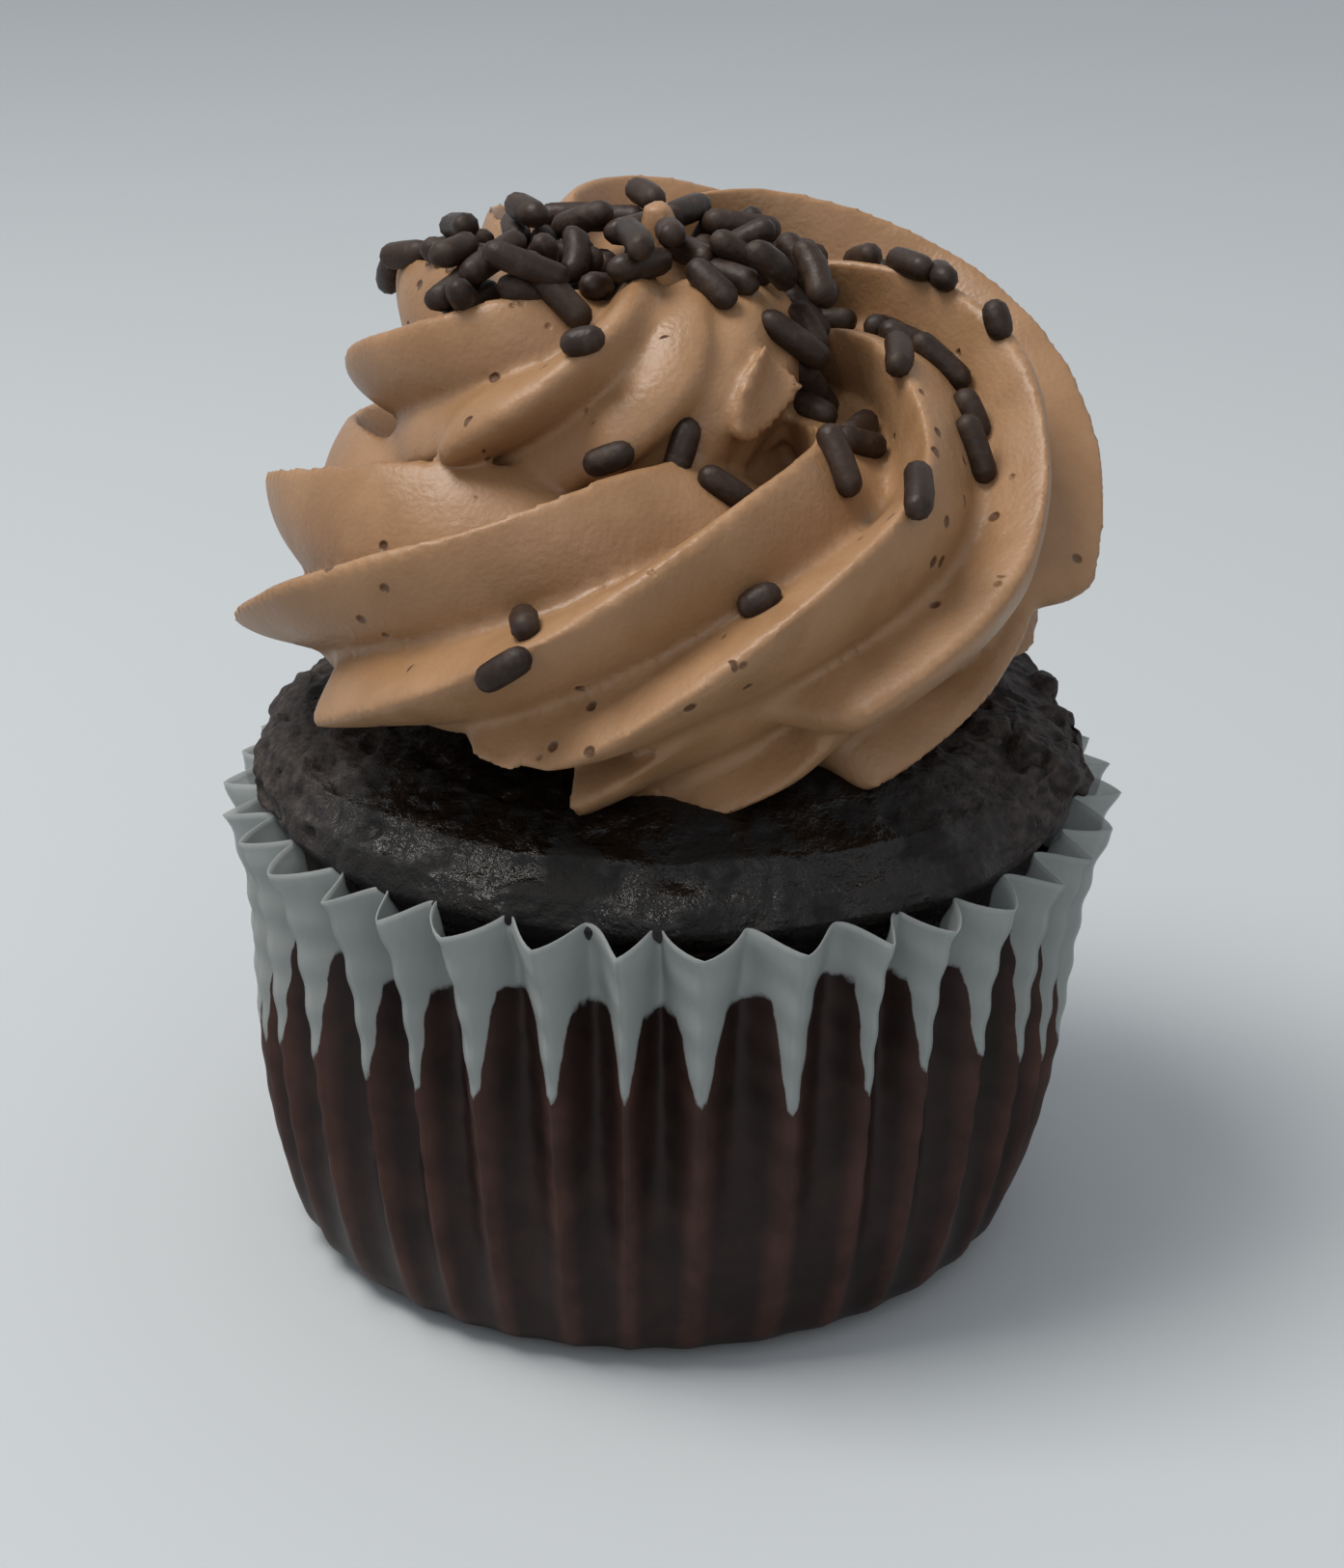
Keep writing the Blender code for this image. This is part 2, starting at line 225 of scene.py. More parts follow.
# %% The star section
def star(turn, twist, tier, smooth, crush):
    """Angle and reach round the star, for turns of 0 to 1 and a tier of 0 on the rings to 1 on top.

    Height falls from 1 on a ridge to 0 in the valley, rounded on top. Ridges lean over the valley
    that comes before them, and each has its own place, reach and valley. Ridges crushed beneath lose
    their height: height x (1 - crushed).
    """
    place = turn * NOZZLE_RIDGES
    nearest = np.round(place).astype(int) % NOZZLE_RIDGES
    before = np.floor(place).astype(int) % NOZZLE_RIDGES
    from_crest = np.abs((place + 0.5) % 1.0 - 0.5) * 2
    rounding = RIDGE_ROUNDING + (TIER_ROUNDING - RIDGE_ROUNDING) * tier
    rounded = np.sqrt(from_crest**2 + rounding**2) - rounding
    height = 1.0 - rounded / (np.sqrt(1.0 + rounding**2) - rounding)
    height = height**RIDGE_SHARPNESS
    shift = RIDGE_SHIFT[nearest] + TIER_SHIFT[nearest] * tier
    angle = twist + 2 * math.pi * turn + shift * height + RIDGE_LEAN * (height - 1.0)
    crest = 1.0 + (RIDGE_REACH[nearest] - 1.0) * (1 - tier) + (TIER_REACH[nearest] - 1.0) * tier
    ridge_angle = np.degrees(twist + 2 * math.pi * np.round(place) / NOZZLE_RIDGES + shift)
    from_up = (ridge_angle + 180.0) % 360.0 - 180.0
    start = crush - CRUSH_EARLY
    crushed = ease(from_up, start, start + CRUSH_WIDTH) * (1.0 - 0.5 * tier)
    height = height * (1.0 - crushed)
    valley = VALLEY_DEPTH[before] * (1.0 - SMOOTH_SHARE * smooth)
    return angle, (1.0 + (crest - 1.0) * height) * (1.0 - valley * (1.0 - height))


def pressed(up, level):
    """Height within the section, squeezed flat below -level: -level - soft x (1 - exp(-rest / soft))."""
    below = np.maximum(-level - up, 0.0)
    return np.maximum(up, -level) - PRESS_SOFTNESS * (1.0 - np.exp(-below / PRESS_SOFTNESS))


def rope_grid():
    """Centre + size x (sideways x reach x sin + up x pressed(reach x cos)), turned by the twist."""
    at = np.linspace(ROPE_STATIONS[0, 0], ROPE_STATIONS[-1, 0], ROPE_ROWS)
    reach, height, size, twist, press, crush = (along_rope(column, at) for column in range(1, 7))
    angle = np.radians(at)
    centre = np.stack([
        SWIRL_MIDDLE[0] + reach * np.cos(angle),
        SWIRL_MIDDLE[1] + reach * np.sin(angle),
        height,
    ], axis=-1)
    along = np.gradient(centre, axis=0)
    along /= np.linalg.norm(along, axis=1, keepdims=True)
    outward = np.cross(along, (0.0, 0.0, 1.0))
    outward /= np.linalg.norm(outward, axis=1, keepdims=True)
    upward = np.cross(outward, along)
    around, section_reach = star(
        np.arange(ROPE_COLUMNS)[None, :] / ROPE_COLUMNS,
        np.radians(twist)[:, None],
        ease(at, TIER_START, TIER_FULL)[:, None],
        ease(at, SMOOTH_START, SMOOTH_FULL)[:, None],
        crush[:, None],
    )
    up = pressed(section_reach * np.cos(around), press[:, None])
    side = section_reach * np.sin(around)
    size = size[:, None, None]
    section = side[..., None] * outward[:, None, :] + up[..., None] * upward[:, None, :]
    return centre[:, None, :] + size * section


# %% Closed shapes made one skin
SKIN_SIZE = 0.00050
FILLING_HEIGHT = 0.0540
FILLING_RADII = (0.0135, 0.0135, 0.0140)


def egg_grid(centre, radii, rows=40, columns=64):
    """A closed egg: radii x (sin v cos u, sin v sin u, -cos v)."""
    v = np.linspace(0.02, math.pi - 0.02, rows)[:, None]
    u = np.linspace(0.0, 2 * math.pi, columns, endpoint=False)[None, :]
    shape = np.stack([np.sin(v) * np.cos(u), np.sin(v) * np.sin(u), -np.cos(v) + 0 * u], axis=-1)
    return np.array(centre) + np.array(radii) * shape


def one_skin(name, meshes, voxel):
    """Join closed meshes and remesh them into a single outer skin."""
    pieces = [bpy.data.objects.new(name, mesh) for mesh in meshes]
    for piece in pieces:
        bpy.context.scene.collection.objects.link(piece)
    with bpy.context.temp_override(active_object=pieces[0], selected_editable_objects=pieces):
        bpy.ops.object.join()
    joined = pieces[0]
    remesh = joined.modifiers.new("skin", "REMESH")
    remesh.mode = "VOXEL"
    remesh.voxel_size = voxel
    bpy.context.view_layer.update()
    skin = bpy.data.meshes.new_from_object(joined.evaluated_get(bpy.context.evaluated_depsgraph_get()))
    bpy.data.objects.remove(joined, do_unlink=True)
    return skin


def read_points(mesh):
    """All vertices of a mesh as one array."""
    points = np.empty(len(mesh.vertices) * 3, dtype=np.float32)
    mesh.vertices.foreach_get("co", points)
    return points.reshape(-1, 3).astype(float)


def read_normals(mesh):
    """All vertex normals of a mesh as one array."""
    normals = np.empty(len(mesh.vertices) * 3, dtype=np.float32)
    mesh.vertex_normals.foreach_get("vector", normals)
    return normals.reshape(-1, 3).astype(float)


# %% A curled tongue of frosting
CURL_TIP = np.array([0.0046, -0.0134, 0.0656])
CURL_MOUTH = np.array([0.0082, -0.0100, 0.0703])
CURL_ACROSS = np.array([0.0027, 0.0011, -0.0032])
CURL_HALF_WIDTH, CURL_SAG, CURL_THICKNESS = 0.0022, 0.0016, 0.00055


def curl_grid(rows=16, columns=28):
    """A small curled tongue of frosting: a hollow leaf from its tip to its open mouth.

    Across it u = cos(phi) runs from edge to edge, and the middle sags by sag x (1 - u^2).
    """
    part = np.linspace(0.0, 1.0, rows)[:, None, None]
    phi = np.linspace(0.0, 2 * math.pi, columns, endpoint=False)[None, :, None]
    along = CURL_MOUTH - CURL_TIP
    across = CURL_ACROSS / np.linalg.norm(CURL_ACROSS)
    facing = np.cross(along, across)
    facing = facing / np.linalg.norm(facing) * (1.0 if facing[1] < 0 else -1.0)
    half = CURL_HALF_WIDTH * np.sqrt(1.0 - (1.0 - part) ** 2) + 0.0002
    sag = CURL_SAG * part * (1.0 - np.cos(phi) ** 2)
    thick = CURL_THICKNESS * np.sin(phi)
    return CURL_TIP + along * part + across * half * np.cos(phi) + facing * (thick - sag)


# %% One skin from rope, filling and tongue
rope_mesh = tube_mesh("rope", rope_grid(), close_first=True, close_last=True)
curl_mesh = tube_mesh("curl", curl_grid(), close_first=True, close_last=True)
filling = tube_mesh(
    "filling", egg_grid((*SWIRL_MIDDLE, FILLING_HEIGHT), FILLING_RADII), close_first=True, close_last=True,
)
swirl_mesh = one_skin("swirl", [rope_mesh, filling, curl_mesh], SKIN_SIZE)
print("swirl skin", len(swirl_mesh.vertices), "points")

# %% Hand-made unevenness
swirl_points = read_points(swirl_mesh)
swirl_normals = read_normals(swirl_mesh)
wander = 0.00035 * soft_noise(swirl_points, 0.012, 3) + 0.00012 * soft_noise(swirl_points, 0.004, 5)
swirl_points += swirl_normals * wander[:, None]
swirl_mesh.vertices.foreach_set("co", swirl_points.astype(np.float32).ravel())
swirl_mesh.update()
swirl = put_in_scene("frosting_swirl", swirl_mesh)

# %% [markdown]
# ## The paper case
# The real case is a flat disc of greaseproof paper pressed into pleats. The paper keeps its width
# while the cup grows narrower, so the pleats are deepest at the rim and die out at the foot. The
# wall is one function of the turn and the height, and Solidify gives the sheet its thickness.

# %% Case
CASE_HEIGHT = float(case_high[2])
RIM_RADIUS = 0.0347
WALL_RADIUS = 0.0325
FOOT_RADIUS = 0.0276
FOOT_ROUNDING = 0.0026
CASE_LEAN = 0.0017
PLEATS = 36
PLEAT_DEPTH = 0.0040
PLEAT_START = math.radians(-93.6)
COLUMNS_PER_PLEAT = 18
CASE_COLUMNS = PLEATS * COLUMNS_PER_PLEAT
PAPER_THICKNESS = 0.00012


def crest_radius(height):
    """Radius of the outer folds: it swells from the foot as 1 - exp(-h) and flares at the rim."""
    swell = 1.0 - np.exp(-height / 0.009)
    flare = (height / CASE_HEIGHT) ** 8
    return FOOT_RADIUS + (WALL_RADIUS - FOOT_RADIUS) * swell + (RIM_RADIUS - WALL_RADIUS) * flare


def leaning(height):
    """The cupcake's middle moves towards +X with height, and is at the origin at the rim."""
    return CASE_LEAN * (height / CASE_HEIGHT - 1.0)


def rim_height(angle, fold):
    """Rim height: a little uneven, and inner folds stand higher than outer ones."""
    return 0.0351 + 0.0004 * np.sin(3 * angle + 0.4) - 0.0003 * np.cos(angle) + 0.0008 * fold


def stain_height(angle, fold):
    """How high the cake has darkened the paper: high arches in the folds, long teeth on the crests."""
    front = ease(-np.sin(angle), 0.2, 0.95)
    tooth = 0.0170 + 0.0058 * front + 0.0008 * np.sin(7 * angle + 1.0)
    arch = 0.0285 + 0.0012 * front + 0.0012 * np.cos(angle + 0.5) + 0.0007 * np.sin(9 * angle)
    return tooth + (arch - tooth) * ease(fold, 0.04, 0.62) ** 0.8


def case_grid(rows=70):
    """Foot, rounded edge and pleated wall: radius = crest - depth x fold, fold = (1/2 - cos / 2)^0.65.

    The pleats lean a little, and near the rim some roll over sideways.
    """
    turn = np.linspace(0.0, math.pi / 2, 8)
    part = np.linspace(0.0, 1.0, rows)[1:]
    even = PLEAT_START + np.linspace(0.0, 2 * math.pi, CASE_COLUMNS, endpoint=False)
    pitch = 2 * math.pi / PLEATS
    phase = ((even - PLEAT_START) / pitch) % 1.0
    pleat = np.round((even - PLEAT_START) / pitch)
    fold = (0.5 - 0.5 * np.cos(2 * math.pi * phase)) ** 0.65
    own = 0.93 + 0.06 * np.sin(2.4 * pleat) + 0.04 * np.sin(5.3 * pleat + 1.0)
    columns = np.arange(CASE_COLUMNS)
    own = np.interp(columns, columns[::COLUMNS_PER_PLEAT], own[::COLUMNS_PER_PLEAT], period=CASE_COLUMNS)
    level = np.concatenate([0.0 * turn, part])[:, None]
    foot = np.concatenate([FOOT_ROUNDING * (1 - np.cos(turn)), FOOT_ROUNDING + 0 * part])[:, None]
    height = foot + (rim_height(even, fold) - FOOT_ROUNDING) * level
    inset = np.concatenate([FOOT_ROUNDING * (1 - np.sin(turn)), 0 * part])[:, None]
    spread = 0.075 * pitch * (np.sin(5 * even + 0.7) + np.sin(11 * even + 2.1))
    lean = math.radians(-3.0) * level**1.5 * (1.0 - 0.6 * np.cos(even + 0.6))
    lean = lean + math.radians(4.0) * (1.0 - level) * ease(-np.cos(even), -0.3, 0.8)
    roll = 0.15 * pitch * np.sin(math.pi * phase * 2) * (0.45 + 0.55 * np.sin(1.7 * pleat)) * level**3
    angle = even + spread + lean + roll
    depth = PLEAT_DEPTH * own * ease(level, -0.15, 1.0) ** 0.8
    radius = crest_radius(np.minimum(height, CASE_HEIGHT)) - inset - depth * fold
    radius = radius + 0.00015 * np.sin(23 * even + 60 * level) * level
    x = leaning(height) + radius * np.cos(angle)
    y = radius * np.sin(angle)
    stain = height - stain_height(angle, fold + 0 * height)
    return np.stack([x, y, height + 0 * x], axis=-1), fold + 0 * x, stain


case_points, case_fold, case_stain = case_grid()
case_mesh = tube_mesh("case", case_points, close_first=True)
for label, values in (("fold", case_fold), ("above_stain", case_stain * 1000.0)):
    attribute = case_mesh.attributes.new(label, "FLOAT", "POINT")
    attribute.data.foreach_set("value", values.astype(np.float32).ravel())
case = put_in_scene("paper_case_pleated", case_mesh)
sheet_wall = case.modifiers.new("paper thickness", "SOLIDIFY")
sheet_wall.thickness = PAPER_THICKNESS
sheet_wall.offset = -1.0
print("case", len(case_mesh.vertices), "points")

# %% [markdown]
# ## The cake
# Dark sponge fills the case and swells over its rim. It is a turned outline with random bumps.

# %% Cake
CAKE_OUTLINE = np.array([
    (0.0232, 0.0008), (0.0262, 0.0040), (0.0282, 0.0100), (0.0283, 0.0180), (0.0283, 0.0270),
    (0.0284, 0.0300), (0.0286, 0.0325), (0.0293, 0.0342), (0.0304, 0.0355), (0.0316, 0.0368),
    (0.0319, 0.0386), (0.0304, 0.0408), (0.0260, 0.0425), (0.0150, 0.0433), (0.0005, 0.0436),
])


def cake_outline():
    """Half outline: up inside the pleats, out to the brow over the rim, and an oval dome to the top.

    Rows are close together from the rim to where the frosting covers it.
    """
    length = np.concatenate([[0.0], np.cumsum(np.linalg.norm(np.diff(CAKE_OUTLINE, axis=0), axis=1))])
    low, high = length[6] - 0.001, length[12] + 0.004
    at = np.concatenate([
        np.linspace(0.0, low, 22)[:-1], np.linspace(low, high, 118)[:-1], np.linspace(high, length[-1], 14),
    ])
    return np.stack([np.interp(at, length, CAKE_OUTLINE[:, k]) for k in (0, 1)], axis=-1)


def cake_grid(columns=620):
    """The outline turned round the leaning middle, lower in front where the crust pulls back."""
    outline = cake_outline()
    u = np.linspace(0.0, 2 * math.pi, columns, endpoint=False)[None, :]
    radius = outline[:, 0:1]
    height = outline[:, 1:2]
    front = ease(-np.sin(u), 0.2, 0.95)
    risen = ease(height, 0.031, 0.037)
    radius = radius - 0.0022 * front * ease(height, 0.0350, 0.0400)
    x = leaning(height) + radius * np.cos(u)
    y = radius * np.sin(u)
    return np.stack([x, y, height + 0.035 * y * risen], axis=-1)


def crumbled(points):
    """Lumps, torn pits and crumbs on the risen part: it is smoothest on the crust in front."""
    angle = np.arctan2(points[:, 1], points[:, 0])
    front = ease(-np.sin(angle), 0.35, 0.9)
    right = ease(np.cos(angle + 0.15), 0.75, 0.98)
    open_part = ease(points[:, 2], 0.0345, 0.0368)
    lumps = 0.00045 * soft_noise(points, 0.0060, 11) + 0.00030 * soft_noise(points, 0.0028, 12)
    pits = -0.00060 * ease(soft_noise(points, 0.0017, 13), 0.25, 0.75)
    crumbs = 0.00022 * soft_noise(points, 0.00095, 14) + 0.00013 * soft_noise(points, 0.00055, 15)
    torn = 0.0011 * (ease(soft_noise(points, 0.0030, 16), -0.1, 0.3) - 0.6) * right
    return open_part * (lumps + (pits + crumbs) * (1.0 - 0.55 * front) + torn)


cake_mesh = tube_mesh("cake", cake_grid(), close_first=True, close_last=True)
cake_points = read_points(cake_mesh)
cake_points += read_normals(cake_mesh) * crumbled(cake_points)[:, None]
cake_mesh.vertices.foreach_set("co", cake_points.astype(np.float32).ravel())
cake_mesh.update()
crust = ease(-np.sin(np.arctan2(cake_points[:, 1], cake_points[:, 0]) + 0.1), 0.35, 0.85)
crust_attribute = cake_mesh.attributes.new("crust", "FLOAT", "POINT")
crust_attribute.data.foreach_set("value", crust.astype(np.float32))
cake = put_in_scene("cake_sponge", cake_mesh)
print("cake", len(cake_mesh.vertices), "points")

# %% [markdown]
# ## Sprinkles
# Chocolate sprinkles are short rods with rounded ends, two millimetres thick, some of them bent. Those
# that fell on their own are set by direction: a ray from outside finds the frosting. The heap on top
# is built one sprinkle at a time, each let down until it rests on the frosting or on earlier ones.

# %% One sprinkle
SPRINKLE_RADIUS = 0.00103
SPRINKLE_SIDES = 10
SINGLE_SEAT, HEAP_SEAT = 0.50, 0.75
BALL_GAP = 1.9 * SPRINKLE_RADIUS


def sprinkle_grid(middle, direction, length, bend, thickness):
    """A rod with rounded ends along a bowed line: centre = middle + direction s + bend (1 - (2s/L)^2)."""
    direction = np.array(direction) / np.linalg.norm(direction)
    sideways = np.cross(direction, (0.13, 0.2, 0.97))
    sideways /= np.linalg.norm(sideways)
    third = np.cross(direction, sideways)
    end = length / 2 - thickness
    turn = np.radians(np.array([8, 35, 65, 90]))
    along = np.concatenate([-end - thickness * np.cos(turn), [0.0], (end + thickness * np.cos(turn))[::-1]])
    wide = thickness * np.concatenate([np.sin(turn), [1.03], np.sin(turn)[::-1]])
    u = np.linspace(0.0, 2 * math.pi, SPRINKLE_SIDES, endpoint=False)[None, :, None]
    centre = np.array(middle) + along[:, None] * direction
    centre = centre + (bend * (1.0 - (2 * along / length) ** 2))[:, None] * sideways
    return centre[:, None, :] + wide[:, None, None] * (np.cos(u) * sideways + np.sin(u) * third)


# %% Sprinkles that fell on their own
# Azimuth and elevation in degrees seen from the middle of the swirl, heading in degrees from the
# level, then length and bend in millimetres.
SCATTERED = (
    (-149, 57, -35, 5.0, 0.0), (-133, 67, 0, 7.2, 0.2), (-108, 56, 20, 3.2, 0.0),
    (-82, 46, 70, 4.6, 0.1), (-100, 42, 25, 3.8, 0.0), (-73, 36, -35, 4.6, 0.0),
    (-53, 35, 85, 5.6, 0.2), (-50, 26, 65, 5.6, 0.2), (-74, 15, -20, 3.2, 0.0),
    (-107, 12, -62, 4.4, 0.0), (-108, 8, 35, 4.4, 0.0), (-24, 29, 88, 5.2, 0.0),
    (-16, 33, 80, 4.0, 0.0), (-4, 40, 20, 3.2, 0.0), (2, 45, 0, 3.0, 0.0), (8, 47, 0, 4.2, 0.0),
    (36, 46, -10, 4.6, 0.0), (49, 52, 0, 4.2, 0.0), (-35, 60, -60, 6.2, 0.3), (-22, 55, -62, 6.6, 0.2),
    (-32, 41, 10, 6.2, 0.4), (-37, 38, -20, 5.0, 0.0), (-24, 46, 30, 5.0, 0.3), (-28, 50, 75, 4.6, 0.0),
    (7, 48, -50, 5.0, 0.3), (-3, 46, 80, 4.6, 0.0), (-8, 41, 85, 5.4, 0.2), (14, 50, 20, 5.0, 0.0),
    (21, 54, 60, 4.8, 0.0), (30, 52, -20, 5.2, 0.3), (150, 44, 60, 5.2, 0.2), (162, 51, 75, 4.8, 0.0),
)
LOOK_FROM = np.array([SWIRL_MIDDLE[0], SWIRL_MIDDLE[1], 0.050])
frosting_surface = BVHTree.FromPolygons(
    read_points(swirl_mesh).tolist(), [tuple(face.vertices) for face in swirl_mesh.polygons],
)


def lying(azimuth, elevation, heading, length, bend):
    """A sprinkle lying on the first frosting that a ray towards the middle meets."""
    turn, rise = math.radians(azimuth), math.radians(elevation)
    out = np.array([math.cos(rise) * math.cos(turn), math.cos(rise) * math.sin(turn), math.sin(rise)])
    hit, normal = frosting_surface.ray_cast(Vector(LOOK_FROM + 0.06 * out), Vector(-out))[:2]
    normal = np.array(normal)
    level = np.array([-math.sin(turn), math.cos(turn), 0.0])
    steep = np.cross(out, level)
    head = math.radians(heading)
    direction = math.cos(head) * level + math.sin(head) * steep
    direction = direction - normal * (direction @ normal)
    middle = np.array(hit) + normal * SPRINKLE_RADIUS * SINGLE_SEAT
    return sprinkle_grid(middle, direction, length / 1000, bend / 1000, SPRINKLE_RADIUS)


sprinkle_grids = [lying(*row) for row in SCATTERED]

# %% The heap on top
HEAP_COUNT = 260
HEAP_MIDDLE = np.array([-0.0030, 0.0020])
HEAP_SIZE = np.array([0.0128, 0.0090])
HEAP_TOP = float(cad_box[1][2]) - 0.0003
HEAP_LOWEST = 0.060
STEEPEST = 0.9
rng = np.random.default_rng(23)
resting = np.empty((0, 3))


def needed_height(points):
    """Height each point's ball needs: above the frosting, and over balls already resting."""
    needed = np.full(len(points), -1.0)
    for index, point in enumerate(points):
        hit = frosting_surface.ray_cast(Vector((point[0], point[1], 0.12)), Vector((0, 0, -1)))[0]
        if hit is not None:
            needed[index] = hit.z + SPRINKLE_RADIUS * HEAP_SEAT
    if len(resting):
        apart = np.hypot(points[:, None, 0] - resting[:, 0], points[:, None, 1] - resting[:, 1])
        over = np.sqrt(np.maximum(BALL_GAP**2 - apart**2, 0.0))
        tops = np.where(apart < BALL_GAP, resting[:, 2] + over, -1.0)
        needed = np.maximum(needed, tops.max(axis=1))
    return needed


for _ in range(HEAP_COUNT):
    spot = HEAP_MIDDLE + HEAP_SIZE * rng.normal(0.0, 0.55, 2).clip(-1.0, 1.0)
    heading = rng.uniform(0.0, math.pi)
    length = rng.uniform(0.0042, 0.0068)
    bend = rng.choice([0.0, 0.0, 0.0003, 0.0006])
    s = np.linspace(-0.5, 0.5, 7) * (length - 2 * SPRINKLE_RADIUS)
    line = np.stack([spot[0] + s * math.cos(heading), spot[1] + s * math.sin(heading)], axis=-1)
    needed = needed_height(line)
    if needed.min() < HEAP_LOWEST:
        continue
    slope = np.clip((needed[-1] - needed[0]) / (s[-1] - s[0]), -STEEPEST, STEEPEST)
    lift = (needed - slope * s).max()
    if lift + abs(slope) * length / 2 + SPRINKLE_RADIUS > HEAP_TOP:
        continue
    balls = np.column_stack([line, lift + slope * s])
    resting = np.vstack([resting, balls])
    direction = (math.cos(heading), math.sin(heading), slope)
    middle = (spot[0], spot[1], lift)
    sprinkle_grids.append(sprinkle_grid(middle, direction, length, bend, SPRINKLE_RADIUS))
print("sprinkles", len(sprinkle_grids))

# %% All sprinkles in one piece
grids = np.array(sprinkle_grids)
count, bands, sides = grids.shape[:3]
quads = grid_faces(bands, sides).reshape(-1, 4)
quads = (quads[None] + (np.arange(count) * bands * sides)[:, None, None]).reshape(-1, 4)
caps = np.arange(count)[:, None] * bands * sides + np.arange(sides)[None, ::-1]
far_caps = np.arange(count)[:, None] * bands * sides + (bands - 1) * sides + np.arange(sides)[None, :]
sprinkle_mesh = bpy.data.meshes.new("sprinkles")
sprinkle_mesh.from_pydata(
    grids.reshape(-1, 3).tolist(), [], quads.tolist() + caps.tolist() + far_caps.tolist(),
)
sprinkle_mesh.update()
shade = np.repeat(rng.uniform(0.0, 1.0, count), bands * sides)
shade_attribute = sprinkle_mesh.attributes.new("shade", "FLOAT", "POINT")
shade_attribute.data.foreach_set("value", shade.astype(np.float32))
sprinkles = put_in_scene("chocolate_sprinkles", sprinkle_mesh)

# %% [markdown]
# ## Finishes
# Each finish is a Principled surface fed by small node graphs. A few helpers keep the graphs short.

# %% Node helpers
def new_finish(name, colour, roughness):
    """A Principled material with a plain colour and roughness to start from."""
    finish = bpy.data.materials.new(name)
    finish.use_nodes = True
    shader = finish.node_tree.nodes["Principled BSDF"]
    shader.inputs["Base Color"].default_value = (*colour, 1.0)
    shader.inputs["Roughness"].default_value = roughness
    return finish


class Graph:
    """Adds nodes to one tree: values may be sockets to link or constants to set."""

    def __init__(self, tree):
        self.tree = tree

    def node(self, kind, settings=None, **inputs):
        """A node of any kind; an underscore in an input's name stands for a space."""
        added = self.tree.nodes.new(kind)
        for key, value in (settings or {}).items():
            setattr(added, key, value)
        for key, value in inputs.items():
            self.put(added.inputs[key.replace("_", " ")], value)
        return added

    def put(self, socket, value):
        """Link a socket, or set a constant."""
        if isinstance(value, bpy.types.NodeSocket):
            self.tree.links.new(value, socket)
        else:
            socket.default_value = value

    def math(self, operation, first, second=0.0, clamp=False):
        """One sum, product or comparison."""
        added = self.tree.nodes.new("ShaderNodeMath")
        added.operation = operation
        added.use_clamp = clamp
        self.put(added.inputs[0], first)
        self.put(added.inputs[1], second)
        return added.outputs[0]

    def span(self, value, low, high, to_low=0.0, to_high=1.0):
        """A smooth step from low to high, as ease() does for arrays."""
        added = self.tree.nodes.new("ShaderNodeMapRange")
        added.interpolation_type = "SMOOTHSTEP"
        for index, item in enumerate((value, low, high, to_low, to_high)):
            self.put(added.inputs[index], item)
        return added.outputs[0]

    def noise(self, where, scale, detail=2.0, roughness=0.5):
        """Smooth random values in space."""
        return self.node(
            "ShaderNodeTexNoise", Vector=where, Scale=scale, Detail=detail, Roughness=roughness,
        ).outputs["Fac"]

    def mix(self, factor, first, second):
        """Blend two colours."""
        added = self.tree.nodes.new("ShaderNodeMix")
        added.data_type = "RGBA"
        self.put(added.inputs[0], factor)
        self.put(added.inputs[6], first)
        self.put(added.inputs[7], second)
        return added.outputs[2]

    def bump(self, height, distance, strength=1.0, below=None):
        """Shading relief, laid over another relief where one is given."""
        added = self.node("ShaderNodeBump", Height=height, Distance=distance, Strength=strength)
        if below is not None:
            self.put(added.inputs["Normal"], below)
        return added.outputs["Normal"]


def start_graph(finish):
    """Graph, object coordinates and the shader of a material."""
    graph = Graph(finish.node_tree)
    where = graph.node("ShaderNodeTexCoord").outputs["Object"]
    return graph, where, finish.node_tree.nodes["Principled BSDF"]


# %% Buttercream
buttercream = new_finish("buttercream", (0.27, 0.155, 0.085), 0.45)
g, where, shader = start_graph(buttercream)
cloud = g.noise(where, 160.0, 3.0)
grain = g.noise(where, 2600.0, 2.0, 0.6)
cells = g.node("ShaderNodeTexVoronoi", Vector=where, Scale=420.0, Randomness=1.0)
chosen = g.math("GREATER_THAN", g.noise(where, 130.0, 1.0), 0.60)
# Air holes: scattered pits whose mask gives both the bump relief and a painted shade colour.
holes_and_painted_shade = g.math("MULTIPLY", g.span(cells.outputs["Distance"], 0.10, 0.22, 1.0, 0.0), chosen)
tone = g.mix(g.span(cloud, 0.35, 0.65), (0.250, 0.136, 0.064, 1.0), (0.295, 0.166, 0.084, 1.0))
tone = g.mix(g.math("MULTIPLY", grain, 0.25), tone, (0.21, 0.105, 0.048, 1.0))
# The dark colour in the air holes is painted shade, because frosting in a pit is no darker, only shaded.
g.put(shader.inputs["Base Color"], g.mix(holes_and_painted_shade, tone, (0.09, 0.04, 0.018, 1.0)))
g.put(shader.inputs["Roughness"], g.span(cloud, 0.3, 0.7, 0.36, 0.50))
skin_bump = g.bump(grain, 0.00008, 0.5)
skin_bump = g.bump(g.noise(where, 650.0, 2.0), 0.00015, 0.5, skin_bump)
g.put(shader.inputs["Normal"], g.bump(g.math("SUBTRACT", 1.0, holes_and_painted_shade), 0.0004, 0.9, skin_bump))
shader.inputs["Specular IOR Level"].default_value = 0.35
shader.inputs["Subsurface Weight"].default_value = 0.12
shader.inputs["Subsurface Radius"].default_value = (0.0012, 0.0007, 0.0004)
shader.inputs["Subsurface Scale"].default_value = 1.0

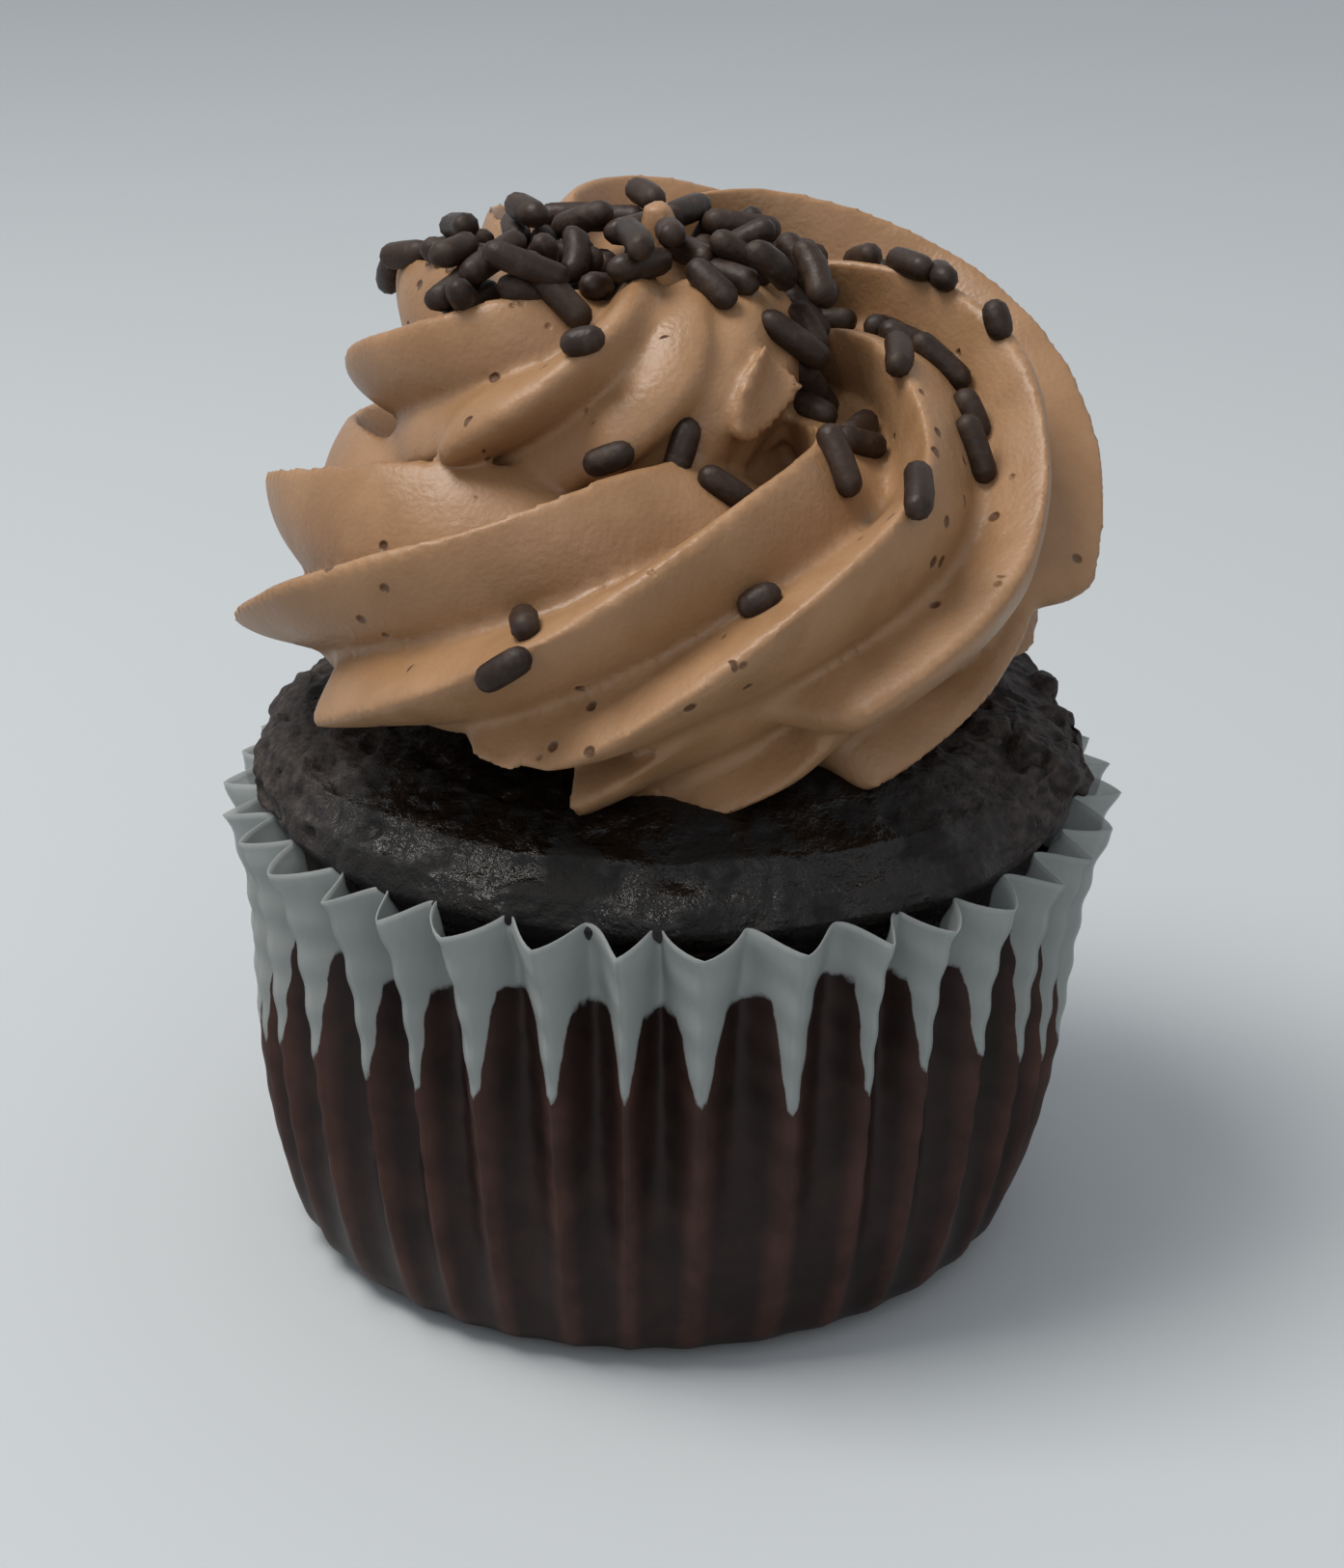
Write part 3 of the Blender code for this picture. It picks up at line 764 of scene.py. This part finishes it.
# %% Greaseproof paper
paper = new_finish("greaseproof_paper", (0.30, 0.32, 0.32), 0.6)
g, where, shader = start_graph(paper)
fold = g.node("ShaderNodeAttribute", {"attribute_name": "fold"}).outputs["Fac"]
above = g.node("ShaderNodeAttribute", {"attribute_name": "above_stain"}).outputs["Fac"]
ragged = g.math("SUBTRACT", g.noise(where, 420.0, 3.0, 0.6), 0.5)
edge = g.math("ADD", above, g.math("MULTIPLY", ragged, 2.2))
clean = g.span(edge, -0.25, 0.25)
fibres = g.noise(g.node("ShaderNodeMapping", Vector=where, Scale=(1.0, 1.0, 0.25)).outputs[0], 2200.0, 3.0)
blotch = g.noise(where, 240.0, 3.0, 0.6)
white = g.mix(fibres, (0.31, 0.335, 0.33, 1.0), (0.35, 0.37, 0.36, 1.0))
crest_brown = g.mix(g.span(blotch, 0.3, 0.7), (0.026, 0.0100, 0.0070, 1.0), (0.050, 0.020, 0.0145, 1.0))
# The brown stain is real, but it is darker in the fold valleys than on the crests: that darkening is
# painted shade in the creases.
shaded_fold_brown = g.mix(g.span(blotch, 0.3, 0.7), (0.0100, 0.0050, 0.0040, 1.0), (0.0200, 0.0098, 0.0078, 1.0))
brown = g.mix(g.span(fold, 0.10, 0.65), crest_brown, shaded_fold_brown)
g.put(shader.inputs["Base Color"], g.mix(clean, brown, white))
g.put(shader.inputs["Roughness"], g.span(clean, 0.0, 1.0, 0.50, 0.62))
g.put(shader.inputs["Alpha"], g.span(clean, 0.0, 1.0, 1.0, 0.60))
g.put(shader.inputs["Normal"], g.bump(blotch, 0.00012, 0.3))
shader.inputs["Specular IOR Level"].default_value = 0.22

# %% Dark sponge
sponge = new_finish("dark_sponge", (0.012, 0.008, 0.006), 0.6)
g, where, shader = start_graph(sponge)
crust = g.node("ShaderNodeAttribute", {"attribute_name": "crust"}).outputs["Fac"]
crumb = g.noise(where, 900.0, 4.0, 0.65)
patch = g.noise(where, 190.0, 3.0, 0.6)
crumb_colour = g.mix(g.span(crumb, 0.35, 0.7), (0.009, 0.006, 0.005, 1.0), (0.048, 0.036, 0.031, 1.0))
crust_colour = g.mix(g.span(patch, 0.4, 0.7), (0.0022, 0.0014, 0.0010, 1.0), (0.0080, 0.0052, 0.0036, 1.0))
shiny = g.math("MULTIPLY", crust, g.span(patch, 0.38, 0.56), clamp=True)
g.put(shader.inputs["Base Color"], g.mix(crust, crumb_colour, crust_colour))
g.put(shader.inputs["Roughness"], g.span(shiny, 0.0, 1.0, 0.75, 0.20))
sponge_bump = g.bump(crumb, 0.0004, 0.8)
g.put(shader.inputs["Normal"], g.bump(g.noise(where, 2400.0, 2.0, 0.6), 0.00016, 0.8, sponge_bump))
shader.inputs["Specular IOR Level"].default_value = 0.30

# %% Chocolate sprinkles
chocolate = new_finish("chocolate_sprinkle", (0.030, 0.017, 0.011), 0.5)
g, where, shader = start_graph(chocolate)
own_shade = g.node("ShaderNodeAttribute", {"attribute_name": "shade"}).outputs["Fac"]
bloom = g.noise(where, 700.0, 3.0, 0.6)
dark = g.mix(own_shade, (0.016, 0.0085, 0.0055, 1.0), (0.030, 0.0155, 0.0095, 1.0))
g.put(shader.inputs["Base Color"], g.mix(g.span(bloom, 0.45, 0.8), dark, (0.048, 0.030, 0.021, 1.0)))
g.put(shader.inputs["Roughness"], g.span(bloom, 0.3, 0.7, 0.42, 0.60))
g.put(shader.inputs["Normal"], g.bump(g.noise(where, 1500.0, 2.0), 0.00012, 0.6))
shader.inputs["Specular IOR Level"].default_value = 0.25

swirl.data.materials.append(buttercream)
case.data.materials.append(paper)
cake.data.materials.append(sponge)
sprinkles.data.materials.append(chocolate)

# %% Riding and standing for the frame
for piece, node, slot in (
    (swirl, "frosting", "buttercream"), (case, "paper_case", "paper"), (cake, "cake", "sponge"),
):
    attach(piece, "root")
    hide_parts(node)
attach(sprinkles, "root")

# %% [markdown]
# ## Floor and light
# A plain pale floor runs back past the horizon, and a wide soft light from above does the rest.

# %% Floor
FLOOR_REACH = 3.0
corners = FLOOR_REACH * np.array([(-1, -1, 0), (1, -1, 0), (1, 1, 0), (-1, 1, 0)])
floor_mesh = bpy.data.meshes.new("floor")
floor_mesh.from_pydata(corners.tolist(), [], [(0, 1, 2, 3)])
floor = put_in_scene("floor", floor_mesh)
floor.data.materials.append(new_finish("pale_floor", (0.41, 0.43, 0.445), 0.8))


# %% Light
TOP_WATTS, FRONT_WATTS = 5.6, 0.7
ROOM_COLOUR, ROOM_STRENGTH = (0.90, 0.95, 1.0, 1.0), 0.66


def soft_light(name, place, size, watts, colour, target=(0.0, 0.0, 0.04)):
    """A square area light that faces the cupcake."""
    light = bpy.data.lights.new(name, "AREA")
    light.size = size
    light.energy = watts
    light.color = colour
    lamp = bpy.data.objects.new(name, light)
    bpy.context.scene.collection.objects.link(lamp)
    lamp.location = place
    lamp.rotation_euler = (Vector(target) - Vector(place)).to_track_quat("-Z", "Y").to_euler()
    return lamp


bpy.context.scene.view_settings.view_transform = "Standard"
soft_light("top_light", (-0.30, -0.05, 0.72), 0.35, TOP_WATTS, (1.0, 0.97, 0.92))
soft_light("front_light", (0.10, -0.75, 0.40), 0.4, FRONT_WATTS, (1.0, 0.97, 0.93))
world = bpy.data.worlds.new("room")
bpy.context.scene.world = world
world.use_nodes = True
background = world.node_tree.nodes["Background"]
background.inputs["Color"].default_value = ROOM_COLOUR
background.inputs["Strength"].default_value = ROOM_STRENGTH
